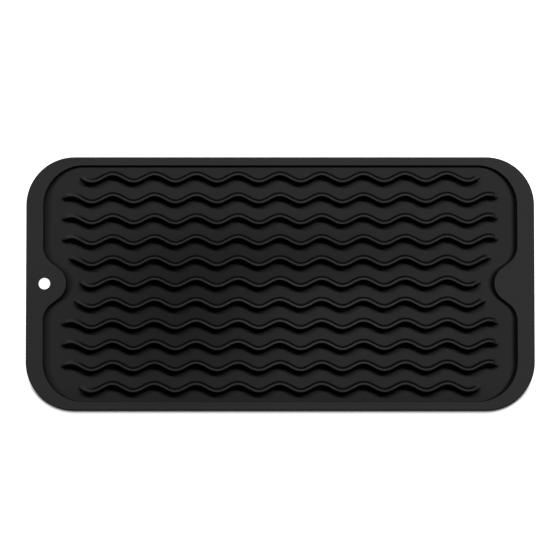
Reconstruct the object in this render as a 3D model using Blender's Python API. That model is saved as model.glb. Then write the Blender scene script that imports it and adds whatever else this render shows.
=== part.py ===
"""Silicone heat mat, moulded in one piece.

A thin rectangular sheet has a raised rim round a shallow field. A tab grows from the rim into each end
of the field, one of them with a hanging hole, and rows of wavy ribs stand in the field to hold a hot
tool off the sheet. The origin is at the middle of the underside, +X runs along the mat, +Z is up, and
the hanging hole is at the -X end. All sizes are in metres.
"""

from math import acos, atan, cos, hypot, pi, radians, sin

import bmesh
import bpy

# The mat's outline
MAT_LENGTH = 0.3048
MAT_WIDTH = 0.1524
MAT_CORNER_RADIUS = 0.0291
TOP_EDGE_ROUND = 0.0005

# The sheet, and the rim that stands above it round the field
SHEET_THICKNESS = 0.0014
RIM_STEP = 0.0015
END_RIM_WIDTH = 0.0104
SIDE_RIM_WIDTH = 0.0052
FIELD_CORNER_RADIUS = 0.0240

# The tab in the middle of each end: a round nose, straight flanks, and a fillet into the rim
TAB_DEPTH = 0.0138
TAB_NOSE_RADIUS = 0.0114
TAB_FILLET_RADIUS = 0.0125
TAB_FLANK_ANGLE = radians(52)

# The hanging hole, its centre measured from the mat's end
HOLE_DIAMETER = 0.0075
HOLE_FROM_END = 0.0109

# The ribs, and the clearances that decide how many there are and where each one ends
RIB_HEIGHT = 0.0036
RIB_FOOT_WIDTH = 0.0026
RIB_CREST_WIDTH = 0.0016
RIB_PITCH = 0.0126
WAVE_LENGTH = 0.0251
WAVE_SWING = 0.0022
RIB_TO_SIDE_WALL = 0.0030
RIB_TO_END_WALL = 0.0111
RIB_TO_TAB = 0.0078
OUTER_RIB_INTO_CORNER = 0.0022
RIB_END_ACCURACY = 0.00005

# How finely round shapes are divided
CORNER_STEPS = 12
TAB_ARC_STEPS = 8
HOLE_SIDES = 32
WAVE_STEPS = 8
SHORTEST_WAVE_STEP = 0.3
RIB_CAP_STEPS = 4
ROUND_STEPS = 2
SMOOTH_UNDER = radians(35)

# Cutters reach this far past the faces that they cut, and points this close are one point
CUTTER_OVERRUN = 0.002
SAME_POINT = 1e-6

# Derived sizes
RIM_HEIGHT = SHEET_THICKNESS + RIM_STEP
FIELD_LENGTH = MAT_LENGTH - 2 * END_RIM_WIDTH
FIELD_WIDTH = MAT_WIDTH - 2 * SIDE_RIM_WIDTH
TAB_NOSE_X = FIELD_LENGTH / 2 - TAB_DEPTH + TAB_NOSE_RADIUS

SILICONE_COLOUR = (0.027, 0.027, 0.027, 1.0)
SILICONE_ROUGHNESS = 0.5


def clear_scene():
    for thing in list(bpy.data.objects):
        bpy.data.objects.remove(thing, do_unlink=True)


def new_collection(name):
    collection = bpy.data.collections.new(name)
    bpy.context.scene.collection.children.link(collection)
    return collection


def silicone():
    """Matt black silicone rubber."""
    material = bpy.data.materials.new("black_silicone")
    material.use_nodes = True
    shader = material.node_tree.nodes["Principled BSDF"]
    shader.inputs["Base Color"].default_value = SILICONE_COLOUR
    shader.inputs["Roughness"].default_value = SILICONE_ROUGHNESS
    shader.inputs["Metallic"].default_value = 0.0
    return material


def as_helper(thing):
    """A cutter or a joined shape: it shows as wire and isn't rendered."""
    thing.hide_render = True
    thing.display_type = "WIRE"
    return thing


def arc(centre_x, centre_y, radius, start, end, steps):
    """Points along a circular arc, both ends included. Angles are in radians."""
    angles = [start + (end - start) * step / steps for step in range(steps + 1)]
    return [(centre_x + radius * cos(angle), centre_y + radius * sin(angle)) for angle in angles]


def without_repeats(points):
    """The outline with each point that falls on the one before it left out."""
    return [
        point
        for point, before in zip(points, points[-1:] + points[:-1])
        if hypot(point[0] - before[0], point[1] - before[1]) > SAME_POINT
    ]


def mirrored(quarter):
    """A whole outline from the quarter at +X, +Y, whose points run from the +X axis to the +Y axis."""
    right = [(x, -y) for x, y in reversed(quarter)] + quarter
    return without_repeats(right + [(-x, y) for x, y in reversed(right)])


def mat_outline():
    x = MAT_LENGTH / 2 - MAT_CORNER_RADIUS
    y = MAT_WIDTH / 2 - MAT_CORNER_RADIUS
    return mirrored(arc(x, y, MAT_CORNER_RADIUS, 0, pi / 2, CORNER_STEPS))


def tab_edge():
    """The tab's edge at +X, from the nose's tip to where its fillet meets the end wall.

    The flank is as steep as TAB_FLANK_ANGLE, or as steep as the tab's depth leaves room for.
    """
    both_radii = TAB_NOSE_RADIUS + TAB_FILLET_RADIUS
    steepest = acos(max(1 - TAB_DEPTH / both_radii, 0))
    flank = min(TAB_FLANK_ANGLE, steepest)
    straight = (TAB_DEPTH - both_radii * (1 - cos(flank))) / sin(flank)
    fillet_x = FIELD_LENGTH / 2 - TAB_FILLET_RADIUS
    fillet_y = both_radii * sin(flank) + straight * cos(flank)
    nose = arc(TAB_NOSE_X, 0, TAB_NOSE_RADIUS, pi, pi - flank, TAB_ARC_STEPS)
    fillet = arc(fillet_x, fillet_y, TAB_FILLET_RADIUS, -flank, 0, TAB_ARC_STEPS)
    return nose + fillet


def field_outline():
    x = FIELD_LENGTH / 2 - FIELD_CORNER_RADIUS
    y = FIELD_WIDTH / 2 - FIELD_CORNER_RADIUS
    return mirrored(tab_edge() + arc(x, y, FIELD_CORNER_RADIUS, 0, pi / 2, CORNER_STEPS))


def plate(name, outline, bottom, top, collection):
    """A mesh object of this outline between two heights, made from a filled 2D curve."""
    curve = bpy.data.curves.new(name, "CURVE")
    curve.dimensions = "2D"
    curve.fill_mode = "BOTH"
    curve.extrude = (top - bottom) / 2
    spline = curve.splines.new("POLY")
    spline.points.add(len(outline) - 1)
    for point, (x, y) in zip(spline.points, outline):
        point.co = (x, y, 0, 1)
    spline.use_cyclic_u = True
    drawn = bpy.data.objects.new(name + "_curve", curve)
    drawn.location.z = (top + bottom) / 2
    collection.objects.link(drawn)

    graph = bpy.context.evaluated_depsgraph_get()
    solid = bpy.data.objects.new(name, bpy.data.meshes.new_from_object(drawn.evaluated_get(graph)))
    solid.matrix_world = drawn.matrix_world
    collection.objects.link(solid)
    bpy.data.objects.remove(drawn)

    welded = bmesh.new()
    welded.from_mesh(solid.data)
    bmesh.ops.remove_doubles(welded, verts=welded.verts, dist=SAME_POINT)
    welded.to_mesh(solid.data)
    welded.free()
    return solid


def round_top_edge(solid, width):
    """Rounds the edge between a plate's top face and its sides."""
    shape = bmesh.new()
    shape.from_mesh(solid.data)
    highest = max(vertex.co.z for vertex in shape.verts)
    edges = [
        edge
        for edge in shape.edges
        if all(vertex.co.z > highest - SAME_POINT for vertex in edge.verts)
        and edge.calc_face_angle() > SMOOTH_UNDER
    ]
    bmesh.ops.bevel(shape, geom=edges, offset=width, segments=ROUND_STEPS, profile=0.5, affect="EDGES")
    shape.to_mesh(solid.data)
    shape.free()


def wave(x):
    """How far a rib lies to +Y of its row at this x. A peak is at the middle of the mat."""
    return WAVE_SWING * cos(2 * pi * x / WAVE_LENGTH)


def wave_slope(x):
    return -WAVE_SWING * 2 * pi / WAVE_LENGTH * sin(2 * pi * x / WAVE_LENGTH)


def row_places():
    """Y of each row of ribs: as many as fit on both sides of the middle row."""
    room = FIELD_WIDTH / 2 - RIB_TO_SIDE_WALL - WAVE_SWING - RIB_FOOT_WIDTH / 2
    beside = int(room / RIB_PITCH)
    return [row * RIB_PITCH for row in range(-beside, beside + 1)]


def rib_end(row_y, is_outer_row):
    """X where a rib's round end is centred, clear of the end wall, the corner and the tab."""
    if is_outer_row:
        tip = FIELD_LENGTH / 2 - FIELD_CORNER_RADIUS + OUTER_RIB_INTO_CORNER
    else:
        tip = FIELD_LENGTH / 2 - RIB_TO_END_WALL
    x = tip - RIB_FOOT_WIDTH / 2
    clear_of_nose = TAB_NOSE_RADIUS + RIB_TO_TAB + RIB_FOOT_WIDTH / 2
    while x > 0 and hypot(TAB_NOSE_X - x, row_y + wave(x)) < clear_of_nose:
        x -= RIB_END_ACCURACY
    return x


def rib_outline(row_y, end_x, width):
    """A rib's outline: its wave moved half the width to each side, and a round end at both ends.

    The steps along the wave fall on its peaks, and what is left over goes to the last step.
    """
    step = WAVE_LENGTH / WAVE_STEPS
    whole_steps = int(end_x / step - SHORTEST_WAVE_STEP)
    between = [place * step for place in range(-whole_steps, whole_steps + 1)]
    stations = [-end_x] + between + [end_x]

    def beside(x, offset):
        slope = wave_slope(x)
        along = hypot(1, slope)
        return (x - offset * slope / along, row_y + wave(x) + offset / along)

    def cap(x, start):
        heading = atan(wave_slope(x))
        centre_y = row_y + wave(x)
        return arc(x, centre_y, width / 2, heading + start, heading + start - pi, RIB_CAP_STEPS)[1:-1]

    far_side = [beside(x, width / 2) for x in stations]
    near_side = [beside(x, -width / 2) for x in reversed(stations)]
    return far_side + cap(end_x, pi / 2) + near_side + cap(-end_x, -pi / 2)


def rib(row_y, is_outer_row, collection):
    """One rib: a loft from its root, sunk half way into the sheet, to its narrower crest."""
    root_depth = SHEET_THICKNESS / 2
    draft = (RIB_FOOT_WIDTH - RIB_CREST_WIDTH) / RIB_HEIGHT
    root_width = RIB_FOOT_WIDTH + draft * root_depth
    end_x = rib_end(row_y, is_outer_row)
    shape = bmesh.new()
    rings = []
    for width, height in (
        (root_width, SHEET_THICKNESS - root_depth),
        (RIB_CREST_WIDTH, SHEET_THICKNESS + RIB_HEIGHT),
    ):
        rings.append([shape.verts.new((x, y, height)) for x, y in rib_outline(row_y, end_x, width)])
    root, crest = rings
    shape.faces.new(root)
    shape.faces.new(reversed(crest))
    for place in range(len(root)):
        before = place - 1
        shape.faces.new((root[before], crest[before], crest[place], root[place]))
    bmesh.ops.recalc_face_normals(shape, faces=shape.faces)
    mesh = bpy.data.meshes.new("rib")
    shape.to_mesh(mesh)
    shape.free()
    solid = bpy.data.objects.new("rib", mesh)
    collection.objects.link(solid)
    return as_helper(solid)


def hole_cutter(collection):
    height = RIM_HEIGHT + 2 * CUTTER_OVERRUN
    shape = bmesh.new()
    bmesh.ops.create_cone(
        shape,
        cap_ends=True,
        segments=HOLE_SIDES,
        radius1=HOLE_DIAMETER / 2,
        radius2=HOLE_DIAMETER / 2,
        depth=height,
    )
    mesh = bpy.data.meshes.new("hanging_hole")
    shape.to_mesh(mesh)
    shape.free()
    cutter = bpy.data.objects.new("hanging_hole", mesh)
    cutter.location = (-MAT_LENGTH / 2 + HOLE_FROM_END, 0, RIM_HEIGHT / 2)
    collection.objects.link(cutter)
    return as_helper(cutter)


def boolean(solid, name, operation):
    modifier = solid.modifiers.new(name, "BOOLEAN")
    modifier.operation = operation
    modifier.solver = "EXACT"
    return modifier


clear_scene()
parts = new_collection("silicone_heat_mat")
cutters = new_collection("cutters")
ribs = new_collection("ribs")

mat = plate("silicone_mat", mat_outline(), 0, RIM_HEIGHT, parts)
round_top_edge(mat, TOP_EDGE_ROUND)
mat.data.materials.append(silicone())

field = plate("field", field_outline(), SHEET_THICKNESS, RIM_HEIGHT + CUTTER_OVERRUN, cutters)
boolean(mat, "cut_field", "DIFFERENCE").object = as_helper(field)
boolean(mat, "cut_hanging_hole", "DIFFERENCE").object = hole_cutter(cutters)

rows = row_places()
for row_place in rows:
    rib(row_place, row_place in (rows[0], rows[-1]), ribs)
join_ribs = boolean(mat, "join_ribs", "UNION")
join_ribs.operand_type = "COLLECTION"
join_ribs.collection = ribs

mat.data.shade_smooth()
mat.data.set_sharp_from_angle(angle=SMOOTH_UNDER)
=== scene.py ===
"""The finish of a black silicone heat mat: the fine moulded surface, its rubber and a white studio."""

from collections import defaultdict
from math import atan, cos, hypot, pi, radians, sin

import bmesh
import bpy
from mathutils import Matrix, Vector
from mathutils.geometry import delaunay_2d_cdt


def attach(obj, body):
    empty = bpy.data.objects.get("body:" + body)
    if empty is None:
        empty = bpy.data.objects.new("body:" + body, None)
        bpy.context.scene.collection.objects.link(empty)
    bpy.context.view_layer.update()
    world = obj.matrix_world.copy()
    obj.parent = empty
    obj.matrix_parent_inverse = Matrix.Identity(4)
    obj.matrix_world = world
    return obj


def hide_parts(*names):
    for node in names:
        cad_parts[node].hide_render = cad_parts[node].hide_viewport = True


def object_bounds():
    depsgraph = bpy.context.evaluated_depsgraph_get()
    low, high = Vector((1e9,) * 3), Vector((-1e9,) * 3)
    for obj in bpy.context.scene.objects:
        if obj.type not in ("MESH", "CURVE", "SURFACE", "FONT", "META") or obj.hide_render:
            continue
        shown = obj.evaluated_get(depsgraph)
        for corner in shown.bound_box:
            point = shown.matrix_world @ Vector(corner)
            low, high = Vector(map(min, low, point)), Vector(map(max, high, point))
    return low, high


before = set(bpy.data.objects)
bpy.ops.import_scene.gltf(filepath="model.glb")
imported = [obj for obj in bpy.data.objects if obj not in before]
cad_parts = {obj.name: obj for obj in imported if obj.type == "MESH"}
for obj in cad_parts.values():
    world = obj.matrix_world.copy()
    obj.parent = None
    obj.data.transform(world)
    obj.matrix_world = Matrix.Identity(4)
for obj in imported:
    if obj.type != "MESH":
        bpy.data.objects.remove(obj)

cad_low, cad_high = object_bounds()


# ---- The rim ----
# The mat is one sheet of black silicone rubber, pressed in a heated two-part mould, and its rim is the
# thickest part of the sheet. The rim's top edge is rounded, and along the foot of its sides runs the
# thin lip that is left where the halves of the mould meet and the waste is torn off.

MAT_LENGTH = cad_high.x - cad_low.x
MAT_WIDTH = cad_high.y - cad_low.y
MAT_CORNER_RADIUS = 0.0291
RIM_HEIGHT = 0.0029
RIM_EDGE_RADIUS = 0.0004
LIP_HEIGHT = 0.0004
LIP_REACH = 0.0001
LIP_ROUND = 0.0001
LIP_STEPS = 2
CORNER_STEPS = 28
EDGE_STEPS = 5

# A narrow ring of flat face beside each rounded edge keeps the shading of the large flat faces even.
FLAT_MARGIN = 0.0001

# Neighbours on an edge that lie closer together than this are one point.
SAME_POINT = 1e-7

moulding = bmesh.new()
# A share on each point of how far a rib's side is painted light, as a lit face.
tip_painted_light = moulding.verts.layers.float.new("tip_painted_light")


def arc(centre_x, centre_y, radius, start, end, steps):
    """Points along a circular arc, both ends included. Angles are in radians."""
    angles = [start + (end - start) * step / steps for step in range(steps + 1)]
    return [(centre_x + radius * cos(angle), centre_y + radius * sin(angle)) for angle in angles]


def facing_arc(centre_x, centre_y, radius, start, end, steps):
    """An arc's points, each with the unit vector from the arc's centre to the point."""
    on_arc = arc(centre_x, centre_y, radius, start, end, steps)
    return [(Vector(point), Vector(away)) for point, away in zip(on_arc, arc(0, 0, 1, start, end, steps))]


def turned_back(edge):
    """The same edge with its vectors the other way round."""
    return [(point, -facing) for point, facing in edge]


def mirrored(quarter):
    """A whole edge from the quarter at +X, +Y, whose points run from the +X side to the +Y side."""

    def flipped(points, x, y):
        flip = Vector((x, y))
        return [(point * flip, facing * flip) for point, facing in reversed(points)]

    right = flipped(quarter, 1, -1) + quarter
    whole = right + flipped(right, -1, 1)
    gaps = [(here[0] - before[0]).length for here, before in zip(whole, whole[-1:] + whole)]
    return [place for place, gap in zip(whole, gaps) if gap > SAME_POINT]


def ring(edge, offset, height):
    """A ring of points, each offset along its own vector. Offset and height are one or a list each."""
    offsets = offset if isinstance(offset, list) else [offset] * len(edge)
    heights = height if isinstance(height, list) else [height] * len(edge)
    places = [point + facing * along for (point, facing), along in zip(edge, offsets)]
    return [moulding.verts.new((place.x, place.y, z)) for place, z in zip(places, heights)]


def skin(rings):
    """Faces from each ring to the next."""
    for lower, upper in zip(rings, rings[1:]):
        for here in range(len(lower)):
            moulding.faces.new((lower[here - 1], lower[here], upper[here], upper[here - 1]))


def rings_along(edge, profile):
    """Skinned rings of an edge at each (offset, height) of a profile."""
    rings = [ring(edge, offset, height) for offset, height in profile]
    skin(rings)
    return rings


mat_corner = (MAT_LENGTH / 2 - MAT_CORNER_RADIUS, MAT_WIDTH / 2 - MAT_CORNER_RADIUS)
mat_edge = mirrored(turned_back(facing_arc(*mat_corner, MAT_CORNER_RADIUS, 0, pi / 2, CORNER_STEPS)))
rim_start = LIP_REACH + RIM_EDGE_RADIUS
rim_side = [
    (LIP_ROUND + FLAT_MARGIN, 0),
    *arc(LIP_ROUND, LIP_ROUND, LIP_ROUND, -pi / 2, -pi, LIP_STEPS),
    (0, LIP_HEIGHT - LIP_ROUND),
    (LIP_REACH, LIP_HEIGHT),
    *arc(rim_start, RIM_HEIGHT - RIM_EDGE_RADIUS, RIM_EDGE_RADIUS, pi, pi / 2, EDGE_STEPS),
    (rim_start + FLAT_MARGIN, RIM_HEIGHT),
]
rim_rings = rings_along(mat_edge, rim_side)


# ---- The field's wall and the two tabs ----
# Inside the rim the mould presses the sheet thin. At the middle of each end the rim grows inwards as a
# tab, to lift the mat by. The wall round the field leans a little so that the mat comes out of the
# mould. At the long sides it meets the floor in a tight fillet, and at the ends in a long shallow sweep.

SHEET_THICKNESS = 0.0014
END_RIM_WIDTH = 0.0104
SIDE_RIM_WIDTH = 0.0052
FIELD_CORNER_RADIUS = 0.0240
FIELD_LENGTH = MAT_LENGTH - 2 * END_RIM_WIDTH
FIELD_WIDTH = MAT_WIDTH - 2 * SIDE_RIM_WIDTH
TAB_DEPTH = 0.0138
TAB_NOSE_RADIUS = 0.0114
TAB_FILLET_RADIUS = 0.0125
TAB_FLANK_ANGLE = radians(52)
TAB_ARC_STEPS = 20
TAB_NOSE_X = FIELD_LENGTH / 2 - TAB_DEPTH + TAB_NOSE_RADIUS
WALL_LEAN = 0.00005
END_WALL_LEAN = 0.00010
WALL_EDGE_RADIUS = 0.0001

# The sweep at the wall's foot, which is lower and longer at the left end than at the right one.
SIDE_SWEEP_REACH = 0.0002
SIDE_SWEEP_RISE = 0.00003
LEFT_SWEEP_REACH = 0.0050
LEFT_SWEEP_RISE = 0.00085
RIGHT_SWEEP_REACH = 0.0036
RIGHT_SWEEP_RISE = 0.00115
SWEEP_STEPS = 8
SWEEP_CROWDING = 1.5
SWEEP_CURVE = 2

# How the sweep dies away round the corners. A lower power carries it further round.
FAR_CORNER_POWER = 0.5
NEAR_CORNER_POWER = 1.4
FAR_SIDE_SHORTENS_SWEEP = 0.4


def field_edge():
    """The field's outline, with vectors into the field."""
    both_radii = TAB_NOSE_RADIUS + TAB_FILLET_RADIUS
    straight = (TAB_DEPTH - both_radii * (1 - cos(TAB_FLANK_ANGLE))) / sin(TAB_FLANK_ANGLE)
    fillet_x = FIELD_LENGTH / 2 - TAB_FILLET_RADIUS
    fillet_y = both_radii * sin(TAB_FLANK_ANGLE) + straight * cos(TAB_FLANK_ANGLE)
    corner_x = FIELD_LENGTH / 2 - FIELD_CORNER_RADIUS
    corner_y = FIELD_WIDTH / 2 - FIELD_CORNER_RADIUS
    nose = facing_arc(TAB_NOSE_X, 0, TAB_NOSE_RADIUS, pi, pi - TAB_FLANK_ANGLE, TAB_ARC_STEPS)
    fillet = facing_arc(fillet_x, fillet_y, TAB_FILLET_RADIUS, -TAB_FLANK_ANGLE, 0, TAB_ARC_STEPS)
    corner = facing_arc(corner_x, corner_y, FIELD_CORNER_RADIUS, 0, pi / 2, CORNER_STEPS)
    return mirrored(nose + turned_back(fillet + corner))


field_wall = field_edge()
powers = [FAR_CORNER_POWER if facing.y < 0 else NEAR_CORNER_POWER for _, facing in field_wall]
towards_end = [abs(facing.x) ** power for power, (_, facing) in zip(powers, field_wall)]


def along_wall(at_sides, at_left, at_right):
    """A size for each point of the wall, from the one at the long sides to those at the two ends."""
    at_ends = [at_left if facing.x > 0 else at_right for _, facing in field_wall]
    return [at_sides + (at_end - at_sides) * share for at_end, share in zip(at_ends, towards_end)]


wall_edge_start = -WALL_LEAN - WALL_EDGE_RADIUS
wall_top = [
    (wall_edge_start - FLAT_MARGIN, RIM_HEIGHT),
    *arc(wall_edge_start, RIM_HEIGHT - WALL_EDGE_RADIUS, WALL_EDGE_RADIUS, pi / 2, 0, EDGE_STEPS),
]
wall_rings = rings_along(field_wall, wall_top)
wall_foot = [WALL_LEAN + END_WALL_LEAN * share for share in towards_end]
shortened = [1 + FAR_SIDE_SHORTENS_SWEEP * min(facing.y, 0) for _, facing in field_wall]
full_reach = along_wall(SIDE_SWEEP_REACH, LEFT_SWEEP_REACH, RIGHT_SWEEP_REACH)
sweep_reach = [reach * share for reach, share in zip(full_reach, shortened)]
sweep_rise = along_wall(SIDE_SWEEP_RISE, LEFT_SWEEP_RISE, RIGHT_SWEEP_RISE)
sweep_rings = []
for step in range(SWEEP_STEPS + 1):
    inward = (step / SWEEP_STEPS) ** SWEEP_CROWDING
    offsets = [start + reach * inward for start, reach in zip(wall_foot, sweep_reach)]
    heights = [SHEET_THICKNESS + rise * (1 - inward) ** SWEEP_CURVE for rise in sweep_rise]
    sweep_rings.append(ring(field_wall, offsets, heights))
floor_edge = [start + reach + FLAT_MARGIN for start, reach in zip(wall_foot, sweep_reach)]
sweep_rings.append(ring(field_wall, floor_edge, SHEET_THICKNESS))
skin([wall_rings[-1], *sweep_rings])


# ---- The ribs ----
# Rows of wavy ribs hold a hot tool off the sheet, so that air gets under it. They are of one piece with
# the sheet, and fill the deepest grooves of the mould: their sides lean, their crests are rounded over,
# their feet run into the sheet with a small fillet, and their tips are slightly domed.

RIB_TOP = cad_high.z
RIB_FOOT_WIDTH = 0.0026
RIB_CREST_WIDTH = 0.00175
RIB_PITCH = 0.0126
RIB_FILLET = 0.0010
RIB_SHOULDER = 0.0004
CREST_CROWN = 0.00002
CREST_SEAM = 1e-6
WAVE_LENGTH = 0.02503
WAVE_SWING = 0.0022
WAVE_STEPS = 20
RIB_CAP_STEPS = 8
RIB_TO_SIDE_WALL = 0.0030
RIB_TO_END_WALL = 0.0111
RIB_TO_TAB = 0.0078
OUTER_RIB_INTO_CORNER = 0.0022
RIB_END_ACCURACY = 0.00005

# The ribs stand slightly off the middle of the field, and right of the middle their rows climb to +Y.
RIB_PLACE = Vector((-0.0002, 0.0004))
ROW_CLIMB_START = 0.030
ROW_CLIMB = 0.0005

# A rib's tip grows from these shares of its full height and breadth to the whole over this length.
RIB_TIP_LENGTH = 0.0012
RIB_TIP_RISE = 0.50
RIB_TIP_BREADTH = 0.75

# The sides of the ribs are painted dark, but their left ends and right tips are painted partly light, as lit
# faces.
LEFT_TIP_LIGHT_END = -0.1185
LEFT_TIP_LIGHT_LENGTH = 0.0080
LEFT_TIP_LIGHT_FADE = 0.0070
RIGHT_TIP_LIGHT_LENGTH = 0.0025
RIGHT_TIP_LIGHT_FADE = 0.0020
MOST_TIP_LIGHT = 0.85


def wave(x):
    """How far a rib lies to +Y of its row at this x. A peak is at the middle of the mat."""
    return WAVE_SWING * cos(2 * pi * x / WAVE_LENGTH)


def wave_slope(x):
    return -WAVE_SWING * 2 * pi / WAVE_LENGTH * sin(2 * pi * x / WAVE_LENGTH)


def row_climb(x):
    """How far a row has climbed to +Y at this x."""
    return ROW_CLIMB * max(x - ROW_CLIMB_START, 0) / (MAT_LENGTH / 2 - ROW_CLIMB_START)


def rib_end(row_y, is_outer_row):
    """X where a rib's round end is centred, clear of the end wall, the corner and the tab."""
    if is_outer_row:
        tip = FIELD_LENGTH / 2 - FIELD_CORNER_RADIUS + OUTER_RIB_INTO_CORNER
    else:
        tip = FIELD_LENGTH / 2 - RIB_TO_END_WALL
    x = tip - RIB_FOOT_WIDTH / 2
    clear_of_nose = TAB_NOSE_RADIUS + RIB_TO_TAB + RIB_FOOT_WIDTH / 2
    while hypot(TAB_NOSE_X - x, row_y + wave(x)) < clear_of_nose:
        x -= RIB_END_ACCURACY
    return x


def rib_edge(row_y, end_x):
    """A rib's middle line, there and back with a half turn at each end, with vectors away from it."""
    steps = round(2 * end_x / WAVE_LENGTH * WAVE_STEPS)
    stations = [-end_x + 2 * end_x * step / steps for step in range(steps + 1)]

    def beside(x, turn):
        heading = atan(wave_slope(x)) + turn
        return RIB_PLACE + Vector((x, row_y + wave(x) + row_climb(x))), Vector((cos(heading), sin(heading)))

    turns = [pi * step / RIB_CAP_STEPS for step in range(1, RIB_CAP_STEPS)]
    near_side = [beside(x, -pi / 2) for x in stations]
    right_end = [beside(end_x, turn - pi / 2) for turn in turns]
    far_side = [beside(x, pi / 2) for x in reversed(stations)]
    left_end = [beside(-end_x, turn + pi / 2) for turn in turns]
    return near_side + right_end + far_side + left_end


def from_tip(edge, end_x, at_tip):
    """A share for each point of a rib's edge, from the given one at its tip to 1, as a round end grows."""
    past_tip = [end_x - abs(point.x - RIB_PLACE.x) for point, _ in edge]
    short = [min(max(1 - past / RIB_TIP_LENGTH, 0), 1) for past in past_tip]
    return [at_tip + (1 - at_tip) * (1 - one ** 2) ** 0.5 for one in short]


def tip_light_at(x, end_x):
    """How much painted light a rib's sides get at this x, as a share of the lit film: most at its two ends,
    and none between.
    """
    left_from = max(LEFT_TIP_LIGHT_END, LEFT_TIP_LIGHT_LENGTH - end_x)
    right_from = end_x - RIGHT_TIP_LIGHT_LENGTH
    at_either = max((left_from - x) / LEFT_TIP_LIGHT_FADE, (x - right_from) / RIGHT_TIP_LIGHT_FADE)
    return MOST_TIP_LIGHT * min(max(at_either, 0), 1)


rib_foot = RIB_FOOT_WIDTH / 2 + RIB_FILLET
shoulder = RIB_CREST_WIDTH / 2 - RIB_SHOULDER
shoulder_top = RIB_TOP - CREST_CROWN
rib_side = [
    (rib_foot + FLAT_MARGIN, SHEET_THICKNESS),
    *arc(rib_foot, SHEET_THICKNESS + RIB_FILLET, RIB_FILLET, -pi / 2, -pi, EDGE_STEPS),
    *arc(shoulder, shoulder_top - RIB_SHOULDER, RIB_SHOULDER, 0, pi / 2, EDGE_STEPS),
    (shoulder / 2, RIB_TOP - CREST_CROWN / 4),
    (0, RIB_TOP),
]
room = FIELD_WIDTH / 2 - RIB_TO_SIDE_WALL - WAVE_SWING - RIB_FOOT_WIDTH / 2
rows_beside = int(room / RIB_PITCH)
rib_rings = []
for row in range(-rows_beside, rows_beside + 1):
    row_y = row * RIB_PITCH
    end_x = rib_end(row_y, abs(row) == rows_beside)
    edge = rib_edge(row_y, end_x)
    tip_rise = from_tip(edge, end_x, RIB_TIP_RISE)
    tip_breadth = from_tip(edge, end_x, RIB_TIP_BREADTH)
    rings = []
    for offset, height in rib_side:
        above_sheet = height - SHEET_THICKNESS
        offsets = [offset * share for share in tip_breadth]
        heights = [SHEET_THICKNESS + above_sheet * share for share in tip_rise]
        rings.append(ring(edge, offsets, heights))
    skin(rings)
    rib_rings.append(rings)
    # The sides near the rib tips are painted light.
    for rib_ring in rings:
        for vert, (point, _) in zip(rib_ring, edge):
            vert[tip_painted_light] = tip_light_at(point.x, end_x)

# The two sides of a rib are joined along the middle of its crest, where their points fall together.
crest_lines = [vert for rings in rib_rings for vert in rings[-1]]
bmesh.ops.remove_doubles(moulding, verts=crest_lines, dist=CREST_SEAM)


# ---- The hanging hole ----
# A plain round hole through the left tab, for a hook or a peg. A pin in the mould leaves it, so its wall
# is smooth, its edges are slightly rounded and there is no eyelet in it.

HOLE_RADIUS = 0.0035
HOLE_FROM_END = 0.0111
HOLE_EDGE_RADIUS = 0.0004
HOLE_EDGE_STEPS = 3
HOLE_STEPS = 64

hole_x = -MAT_LENGTH / 2 + HOLE_FROM_END
hole_top = RIM_HEIGHT - HOLE_EDGE_RADIUS
hole_edge = facing_arc(hole_x, 0, HOLE_RADIUS, 0, 2 * pi, HOLE_STEPS)[:-1]
hole_side = [
    (HOLE_EDGE_RADIUS + FLAT_MARGIN, 0),
    *arc(HOLE_EDGE_RADIUS, HOLE_EDGE_RADIUS, HOLE_EDGE_RADIUS, -pi / 2, -pi, HOLE_EDGE_STEPS),
    *arc(HOLE_EDGE_RADIUS, hole_top, HOLE_EDGE_RADIUS, pi, pi / 2, HOLE_EDGE_STEPS),
    (HOLE_EDGE_RADIUS + FLAT_MARGIN, RIM_HEIGHT),
]
hole_rings = rings_along(hole_edge, hole_side)


# ---- The flat faces ----
# Between the walls, feet and edges the silicone is flat: the rim's top, the field's floor round the
# ribs, and the underside, which lies full on the table. The top half of the mould is finely blasted, and
# the bottom half is polished, so the underside is smoother and is a material of its own.

RIBBED_SIDE, UNDERSIDE = 0, 1
FILL_ACCURACY = 1e-9


def sides(triangle):
    return [frozenset(pair) for pair in zip(triangle, triangle[1:] + triangle[:1])]


def fill(outer, inner, material):
    """Fills the flat area inside the outer ring and outside the inner rings."""
    points = []
    borders = []
    for border_ring in [outer, *inner]:
        start = len(points)
        count = len(border_ring)
        points += border_ring
        borders += [(start + place, start + (place + 1) % count) for place in range(count)]
    inside_borders = 1
    flat = [point.co.xy for point in points]
    _, _, found, kept, _, _ = delaunay_2d_cdt(flat, borders, [], inside_borders, FILL_ACCURACY, True)
    triangles = [tuple(kept[corner][0] for corner in corners) for corners in found]
    touching = defaultdict(list)
    for triangle in triangles:
        for side in sides(triangle):
            touching[side].append(triangle)
    border_sides = {frozenset(border) for border in borders}
    reached = list(touching[frozenset((0, 1))])
    filled = set(reached)
    while reached:
        triangle = reached.pop()
        face = moulding.faces.new([points[corner] for corner in triangle])
        face.material_index = material
        for side in sides(triangle):
            if side not in border_sides:
                fresh = [other for other in touching[side] if other not in filled]
                filled.update(fresh)
                reached += fresh


fill(sweep_rings[-1], [rings[0] for rings in rib_rings], RIBBED_SIDE)
fill(rim_rings[-1], [wall_rings[0], hole_rings[-1]], RIBBED_SIDE)
fill(rim_rings[0], [hole_rings[0]], UNDERSIDE)
bmesh.ops.recalc_face_normals(moulding, faces=moulding.faces)
mesh = bpy.data.meshes.new("moulded_mat")
moulding.to_mesh(mesh)
moulding.free()
mesh.shade_smooth()
mat = bpy.data.objects.new("moulded_mat", mesh)
bpy.context.scene.collection.objects.link(mat)
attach(mat, "root")
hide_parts("silicone_mat")


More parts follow.
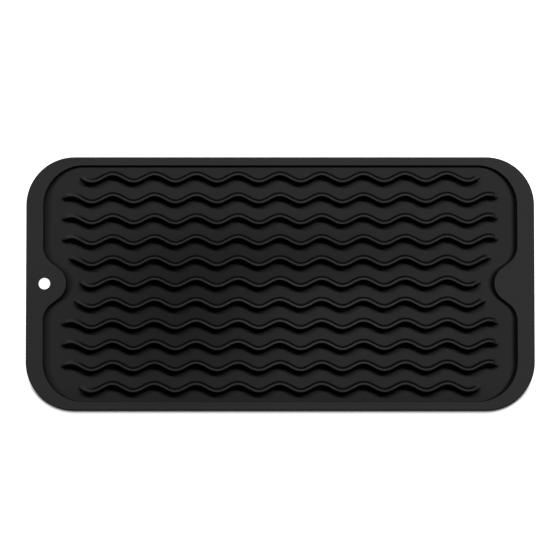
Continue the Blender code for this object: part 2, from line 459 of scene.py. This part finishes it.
# ---- The rubber ----
# Black silicone is dull where the mould is blasted. A film of dust and bloom is painted on the faces that
# lie flat, and steep faces are left deep black, which is painted shade as well as clean rubber. The floor is
# painted darker than the rim, at the left end, along the near wall and in two soft patches, all painted
# shade.
# The crests of the ribs are rubbed smoother and painted lighter as a painted highlight, and the polished
# half of the mould leaves the underside smoother.

RUBBER_SPECULAR = 0.10
RUBBER_IOR = 1.41
# The clean black is painted shade on steep faces as well as the rubber's own colour; the dusty black is the
# lit film on flat faces.
CLEAN_SHADED_BLACK = (0.0020, 0.0020, 0.0021, 1)
DUSTY_LIT_BLACK = (0.0427, 0.0427, 0.0432, 1)
# The crest colour is a painted highlight.
CREST_HIGHLIGHT_BLACK = (0.0580, 0.0580, 0.0585, 1)
UNDERSIDE_CLEAN_BLACK = (0.0070, 0.0070, 0.0071, 1)
UNDERSIDE_BLOOM_BLACK = (0.0110, 0.0110, 0.0112, 1)

# The film and the painted light thin with a face's tilt, to nothing at this one, so steep faces are painted
# in shade.
DUST_AND_LIGHT_GONE_TILT = radians(20)

# The share of the film in its thin clouds, and the share of painted light, which is painted shade, at the
# mat's left end and on the field's floor. Along the near wall the floor has the last share of its own
# painted light, which grows to the whole between two places along Y.
DUST_IN_THIN_CLOUD = 0.88
LIT_SHARE_AT_LEFT = 0.90
FLOOR_LIT_SHARE = 0.79
NEAR_WALL_LIT_SHARE = 0.8
NEAR_WALL_SHADE_Y = (-0.070, -0.060)

# Two soft patches of painted shade on the floor: each patch's centre, reach and the share of light left
# there.
SHADED_PATCHES = [
    ((-0.061, -0.016, 0), (0.088, 0.0825, 1), 0.565),
    ((-0.003, 0.016, 0), (0.137, 0.034, 1), 0.72),
]

# The crests are rubbed smoother and painted lighter, a painted highlight, over their last bit of height, and
# most within one patch.
RUBBED_HIGHLIT_HEIGHTS = (RIB_TOP - 0.0002, RIB_TOP - 0.00005)
RUBBED_HIGHLIT_CENTRE = (0.0165, -0.0205, 0)
RUBBED_HIGHLIT_REACH = (0.122, 0.056, 1)
RUBBED_HIGHLIT_OUTSIDE = 0.32
RUBBED_SMOOTHER = 0.06

SATIN_ROUGHNESS = (0.68, 0.80)
POLISHED_ROUGHNESS = (0.42, 0.52)
GRAIN_DEPTH = 0.00002
GRAIN_DETAIL = 2.0
CLOUD_DETAIL = 4.0
CLOUD_RAGGEDNESS = 0.55
NOISE_MIDDLE = 0.5


def feed(tree, socket, value):
    """Gives an input socket another node's output, or a plain value."""
    if isinstance(value, bpy.types.NodeSocket):
        tree.links.new(value, socket)
    else:
        socket.default_value = value


def add_node(tree, kind, settings=(), **values):
    """A new node. Settings are its own options, and values go to its input sockets by name."""
    node = tree.nodes.new(kind)
    for name, value in dict(settings).items():
        setattr(node, name, value)
    for name, value in values.items():
        feed(tree, node.inputs[name.replace("_", " ")], value)
    return node


def fed_in_order(tree, kind, settings, *values):
    """The first output of a new node, whose input sockets take the values in their order."""
    node = add_node(tree, kind, settings)
    for socket, value in zip(node.inputs, values):
        feed(tree, socket, value)
    return node.outputs[0]


def maths(tree, operation, first, second=0.0, clamp=False):
    return fed_in_order(tree, "ShaderNodeMath", {"operation": operation, "use_clamp": clamp}, first, second)


def vector_maths(tree, operation, first, second):
    return fed_in_order(tree, "ShaderNodeVectorMath", {"operation": operation}, first, second)


def ranged(tree, value, from_range, to_range):
    """A value moved from one range to another and held inside it."""
    node = add_node(tree, "ShaderNodeMapRange", Value=value, From_Min=from_range[0], From_Max=from_range[1],
                    To_Min=to_range[0], To_Max=to_range[1])
    return node.outputs["Result"]


def mixed_colour(tree, share, first, second):
    """The first colour where the share is 0, and the second where it is 1."""
    node = add_node(tree, "ShaderNodeMix", {"data_type": "RGBA"})
    # A mix node lists its sockets for colours behind those for numbers and for vectors.
    share_socket, first_socket, second_socket, colour_output = 0, 6, 7, 2
    feed(tree, node.inputs[share_socket], share)
    feed(tree, node.inputs[first_socket], first)
    feed(tree, node.inputs[second_socket], second)
    return node.outputs[colour_output]


def place_on(tree):
    """The place of a point on its own object."""
    return tree.nodes.new("ShaderNodeTexCoord").outputs["Object"]


def new_group(name, inputs, outputs):
    """A shader node group. Inputs are (name, default), and outputs are (name, socket kind)."""
    tree = bpy.data.node_groups.new(name, "ShaderNodeTree")
    for socket_name, default in inputs:
        kind = "NodeSocketVector" if isinstance(default, tuple) else "NodeSocketFloat"
        socket = tree.interface.new_socket(socket_name, in_out="INPUT", socket_type=kind)
        socket.default_value = default
    for socket_name, kind in outputs:
        tree.interface.new_socket(socket_name, in_out="OUTPUT", socket_type=kind)
    entry = tree.nodes.new("NodeGroupInput")
    exit_node = tree.nodes.new("NodeGroupOutput")
    return tree, entry.outputs, exit_node.inputs


def place_group(tree, group, **values):
    """The first output of a node group that is placed in a material."""
    return add_node(tree, "ShaderNodeGroup", {"node_tree": group}, **values).outputs[0]


# Fine grain of the mould's surface: a height from 0 to 1 in grains of the given size.
grain, grain_in, grain_out = new_group(
    "mould_grain", [("Grain Size", 0.0003), ("Softness", 0.5)], [("Height", "NodeSocketFloat")]
)
grain_place = place_on(grain)
grain_scale = maths(grain, "DIVIDE", 1.0, grain_in["Grain Size"])
cells = add_node(grain, "ShaderNodeTexVoronoi", {"feature": "SMOOTH_F1"}, Vector=grain_place,
                 Scale=grain_scale, Smoothness=grain_in["Softness"])
blasted = add_node(grain, "ShaderNodeTexNoise", Vector=grain_place, Scale=grain_scale, Detail=GRAIN_DETAIL)
both_grains = maths(grain, "ADD", cells.outputs["Distance"], blasted.outputs["Fac"])
feed(grain, grain_out["Height"], maths(grain, "MULTIPLY", both_grains, 0.5))

# Cloudy patches, as left by handling, dust and uneven curing: a mask from 0 to 1.
clouds, clouds_in, clouds_out = new_group(
    "handling_clouds", [("Patch Size", 0.03), ("Contrast", 1.5)], [("Mask", "NodeSocketFloat")]
)
cloud_scale = maths(clouds, "DIVIDE", 1.0, clouds_in["Patch Size"])
drifts = add_node(clouds, "ShaderNodeTexNoise", Vector=place_on(clouds), Scale=cloud_scale,
                  Detail=CLOUD_DETAIL, Roughness=CLOUD_RAGGEDNESS)
about_zero = maths(clouds, "SUBTRACT", drifts.outputs["Fac"], NOISE_MIDDLE)
contrasted = maths(clouds, "MULTIPLY", about_zero, clouds_in["Contrast"])
feed(clouds, clouds_out["Mask"], maths(clouds, "ADD", contrasted, NOISE_MIDDLE, clamp=True))

# A soft oval patch, for the painted shade on the floor and the painted highlight on the crests: a value at
# its centre and one outside it.
oval, oval_in, oval_out = new_group(
    "painted_light_oval",
    [("Centre", (0, 0, 0)), ("Reach", (1, 1, 1)), ("At Centre", 0.0), ("Outside", 1.0)],
    [("Mask", "NodeSocketFloat")],
)
from_centre = vector_maths(oval, "SUBTRACT", place_on(oval), oval_in["Centre"])
in_reaches = vector_maths(oval, "DIVIDE", from_centre, oval_in["Reach"])
away = add_node(oval, "ShaderNodeVectorMath", {"operation": "LENGTH"}, Vector=in_reaches).outputs["Value"]
softened = add_node(oval, "ShaderNodeMapRange", {"interpolation_type": "SMOOTHSTEP"}, Value=away,
                    To_Min=oval_in["At Centre"], To_Max=oval_in["Outside"])
feed(oval, oval_out["Mask"], softened.outputs["Result"])


def rubber(name):
    """Adds a silicone material to the mat, and gives its node tree and its shader."""
    material = bpy.data.materials.new(name)
    material.use_nodes = True
    shader = material.node_tree.nodes["Principled BSDF"]
    shader.inputs["Specular IOR Level"].default_value = RUBBER_SPECULAR
    shader.inputs["IOR"].default_value = RUBBER_IOR
    mesh.materials.append(material)
    return material.node_tree, shader


ribbed, ribbed_shader = rubber("silicone_ribbed_side")
normal = ribbed.nodes.new("ShaderNodeNewGeometry").outputs["Normal"]
upward = add_node(ribbed, "ShaderNodeSeparateXYZ", Vector=normal).outputs["Z"]
# Painted shade: faces darken towards the clean black as they tilt, and flat faces keep the lit dusty film.
tilt = maths(ribbed, "ARCCOSINE", upward)
flat_enough = ranged(ribbed, tilt, (0.0, DUST_AND_LIGHT_GONE_TILT), (1.0, 0.0))
# Painted light on the sides of the rib tips, kept as light as the flat faces.
tip_light = add_node(ribbed, "ShaderNodeAttribute", {"attribute_name": "tip_painted_light"}).outputs["Fac"]
dust_and_light_faces = maths(ribbed, "MAXIMUM", flat_enough, tip_light)
position = add_node(ribbed, "ShaderNodeSeparateXYZ", Vector=place_on(ribbed)).outputs

cloud = place_group(ribbed, clouds, Patch_Size=0.035, Contrast=1.2)
cloud_film = ranged(ribbed, cloud, (0.0, 1.0), (DUST_IN_THIN_CLOUD, 1.0))
# Painted shade: darker towards the left end and within the two patches.
lit_share = ranged(ribbed, position["X"], (cad_low.x, cad_high.x), (LIT_SHARE_AT_LEFT, 1.0))
for centre, reach, light_left in SHADED_PATCHES:
    patch = place_group(ribbed, oval, Centre=centre, Reach=reach, At_Centre=light_left)
    lit_share = maths(ribbed, "MULTIPLY", lit_share, patch)
# Painted shade: the floor darker than the rim, and darker still along the near wall.
on_floor = ranged(ribbed, position["Y"], NEAR_WALL_SHADE_Y, (NEAR_WALL_LIT_SHARE * FLOOR_LIT_SHARE, FLOOR_LIT_SHARE))
by_height = ranged(ribbed, position["Z"], (SHEET_THICKNESS, RIM_HEIGHT), (on_floor, 1.0))
# Dust and painted light together: tilt, thin clouds, and the painted shade of the floor, the left end and
# the two patches.
settled_and_lit = maths(ribbed, "MULTIPLY", dust_and_light_faces, cloud_film)
dust_and_shade = maths(ribbed, "MULTIPLY", settled_and_lit, maths(ribbed, "MULTIPLY", lit_share, by_height))
dusty_and_shaded = mixed_colour(ribbed, dust_and_shade, CLEAN_SHADED_BLACK, DUSTY_LIT_BLACK)

# Painted highlight along the crests, strongest within one patch; the same mask makes them smoother.
crest = ranged(ribbed, position["Z"], RUBBED_HIGHLIT_HEIGHTS, (0.0, 1.0))
on_crest = maths(ribbed, "MULTIPLY", crest, dust_and_light_faces)
highlight_patch = place_group(ribbed, oval, Centre=RUBBED_HIGHLIT_CENTRE, Reach=RUBBED_HIGHLIT_REACH, At_Centre=1.0,
                      Outside=RUBBED_HIGHLIT_OUTSIDE)
rubbed_and_highlit = maths(ribbed, "MULTIPLY", on_crest, highlight_patch)
feed(ribbed, ribbed_shader.inputs["Base Color"], mixed_colour(ribbed, rubbed_and_highlit, dusty_and_shaded, CREST_HIGHLIGHT_BLACK))

speck = place_group(ribbed, clouds, Patch_Size=0.004, Contrast=1.5)
satin = ranged(ribbed, speck, (0.0, 1.0), SATIN_ROUGHNESS)
smoother = ranged(ribbed, rubbed_and_highlit, (0.0, 1.0), (0.0, RUBBED_SMOOTHER))
feed(ribbed, ribbed_shader.inputs["Roughness"], maths(ribbed, "SUBTRACT", satin, smoother))
blasted_grain = place_group(ribbed, grain, Grain_Size=0.00035, Softness=0.5)
blasted_bump = add_node(ribbed, "ShaderNodeBump", Height=blasted_grain, Strength=0.25, Distance=GRAIN_DEPTH)
feed(ribbed, ribbed_shader.inputs["Normal"], blasted_bump.outputs["Normal"])

under, under_shader = rubber("silicone_underside")
bloom = place_group(under, clouds, Patch_Size=0.05, Contrast=1.6)
under_colour = mixed_colour(under, bloom, UNDERSIDE_CLEAN_BLACK, UNDERSIDE_BLOOM_BLACK)
feed(under, under_shader.inputs["Base Color"], under_colour)
feed(under, under_shader.inputs["Roughness"], ranged(under, bloom, (0.0, 1.0), POLISHED_ROUGHNESS))
polished_grain = place_group(under, grain, Grain_Size=0.0008, Softness=1.0)
polished_bump = add_node(under, "ShaderNodeBump", Height=polished_grain, Strength=0.1, Distance=GRAIN_DEPTH)
feed(under, under_shader.inputs["Normal"], polished_bump.outputs["Normal"])


# ---- The white table ----
# A sheet of white paper on a table. To the camera it is pure white, apart from the soft shadow along the
# mat's near side. It can be looked through from below, so that the mat's underside shows.

FLOOR_SIZE = 30
FLOOR_GAP = 0.00005
PAPER_WHITE = (0.9, 0.9, 0.9, 1)
PURE_WHITE = (1, 1, 1, 1)
SHADOW_REACH = 0.0038
SHADOW_SAMPLES = 16
SHADOW_OPENNESS = (0.53, 0.82)
SHADOW_FALLOFF = 1.5
SHADOW_FADE_Y = (-0.070, -0.055)

floor_mesh = bpy.data.meshes.new("white_table")
floor_bmesh = bmesh.new()
bmesh.ops.create_grid(floor_bmesh, x_segments=1, y_segments=1, size=FLOOR_SIZE / 2)
floor_bmesh.to_mesh(floor_mesh)
floor_bmesh.free()
floor = bpy.data.objects.new("white_table", floor_mesh)
floor.location.z = -FLOOR_GAP
bpy.context.scene.collection.objects.link(floor)


def in_reflections(tree, light_path):
    """1 where the surface is seen in a gloss or through glass."""
    return maths(tree, "MAXIMUM", light_path["Is Glossy Ray"], light_path["Is Transmission Ray"])


paper_material = bpy.data.materials.new("white_paper")
paper_material.use_nodes = True
paper = paper_material.node_tree
paper.nodes.clear()
paper_light = paper.nodes.new("ShaderNodeLightPath").outputs
shadow = add_node(paper, "ShaderNodeAmbientOcclusion", {"samples": SHADOW_SAMPLES}, Distance=SHADOW_REACH)
openness = ranged(paper, shadow.outputs["AO"], SHADOW_OPENNESS, (0.0, 1.0))
unshadowed = maths(paper, "POWER", openness, SHADOW_FALLOFF)
paper_y = add_node(paper, "ShaderNodeSeparateXYZ", Vector=place_on(paper)).outputs["Y"]
beyond_shadow = ranged(paper, paper_y, SHADOW_FADE_Y, (0.0, 1.0))
white_share = maths(paper, "MAXIMUM", unshadowed, beyond_shadow)
to_camera = maths(paper, "MULTIPLY", paper_light["Is Camera Ray"], white_share)
glow = maths(paper, "MAXIMUM", to_camera, in_reflections(paper, paper_light))
white_paper = add_node(paper, "ShaderNodeBsdfDiffuse", Color=PAPER_WHITE).outputs["BSDF"]
white_glow = add_node(paper, "ShaderNodeEmission", Color=PURE_WHITE, Strength=glow).outputs["Emission"]
from_above = fed_in_order(paper, "ShaderNodeAddShader", {}, white_paper, white_glow)
clear = add_node(paper, "ShaderNodeBsdfTransparent").outputs["BSDF"]
is_below = paper.nodes.new("ShaderNodeNewGeometry").outputs["Backfacing"]
either_side = fed_in_order(paper, "ShaderNodeMixShader", {}, is_below, from_above, clear)
add_node(paper, "ShaderNodeOutputMaterial", Surface=either_side)
floor_mesh.materials.append(paper_material)


# ---- The camera ----
# The photograph looks down on the mat through a long lens. The camera leans back a little to the near side,
# so that the near flank of each rib shows, as it does there.

CAMERA_DISTANCE = 2.8
FARTHEST_SEEN = 100
LEAN = radians(5)
FRAME_WIDTH = 0.33555
AIM = Vector((-0.00015, 0.00215, 0.0015))
SENSOR_WIDTH = 36

camera_data = bpy.data.cameras.new("camera")
camera_data.sensor_width = SENSOR_WIDTH
camera_data.lens = SENSOR_WIDTH * CAMERA_DISTANCE / FRAME_WIDTH
camera_data.clip_end = FARTHEST_SEEN
camera = bpy.data.objects.new("camera", camera_data)
camera.location = AIM + CAMERA_DISTANCE * Vector((0, -sin(LEAN), cos(LEAN)))
camera.rotation_euler = (LEAN, 0, 0)
bpy.context.scene.collection.objects.link(camera)
bpy.context.scene.camera = camera


# ---- The light ----
# A long strip softbox stands behind the mat, a little to the right, and lights its flat faces at a slant,
# so that the near side of each rib lies in its own shadow. A smaller softbox below the table faces the
# underside. The room is white to the camera and in low reflections, and fills the shadows very little.

LOW_REFLECTION = 0.15
ROOM_FILL = 0.03


def softbox(name, azimuth, elevation, distance, width, height, power):
    """An area lamp that faces the mat. Azimuth is clockwise from +Y, and angles are in degrees."""
    lamp = bpy.data.lights.new(name, "AREA")
    lamp.shape = "RECTANGLE"
    lamp.size = width
    lamp.size_y = height
    lamp.energy = power
    stand = bpy.data.objects.new(name, lamp)
    level = cos(radians(elevation))
    towards = Vector((sin(radians(azimuth)) * level, cos(radians(azimuth)) * level, sin(radians(elevation))))
    stand.location = towards * distance
    stand.rotation_euler = towards.to_track_quat("Z", "Y").to_euler()
    stand.visible_camera = False
    bpy.context.scene.collection.objects.link(stand)


softbox("key_softbox", azimuth=10, elevation=48, distance=1.8, width=3.0, height=0.30, power=39)
softbox("underside_softbox", azimuth=200, elevation=-60, distance=1.3, width=0.8, height=0.8, power=12)

room_world = bpy.data.worlds.new("studio")
room_world.use_nodes = True
bpy.context.scene.world = room_world
studio = room_world.node_tree
studio_light = studio.nodes.new("ShaderNodeLightPath").outputs
direction = studio.nodes.new("ShaderNodeTexCoord").outputs["Generated"]
up = add_node(studio, "ShaderNodeSeparateXYZ", Vector=direction).outputs["Z"]
is_low = maths(studio, "LESS_THAN", up, LOW_REFLECTION)
low_white = maths(studio, "MULTIPLY", is_low, in_reflections(studio, studio_light))
seen_white = maths(studio, "MAXIMUM", studio_light["Is Camera Ray"], low_white)
background = studio.nodes["Background"]
background.inputs["Color"].default_value = PURE_WHITE
feed(studio, background.inputs["Strength"], maths(studio, "MAXIMUM", seen_white, ROOM_FILL))

bpy.context.scene.view_settings.view_transform = "Standard"
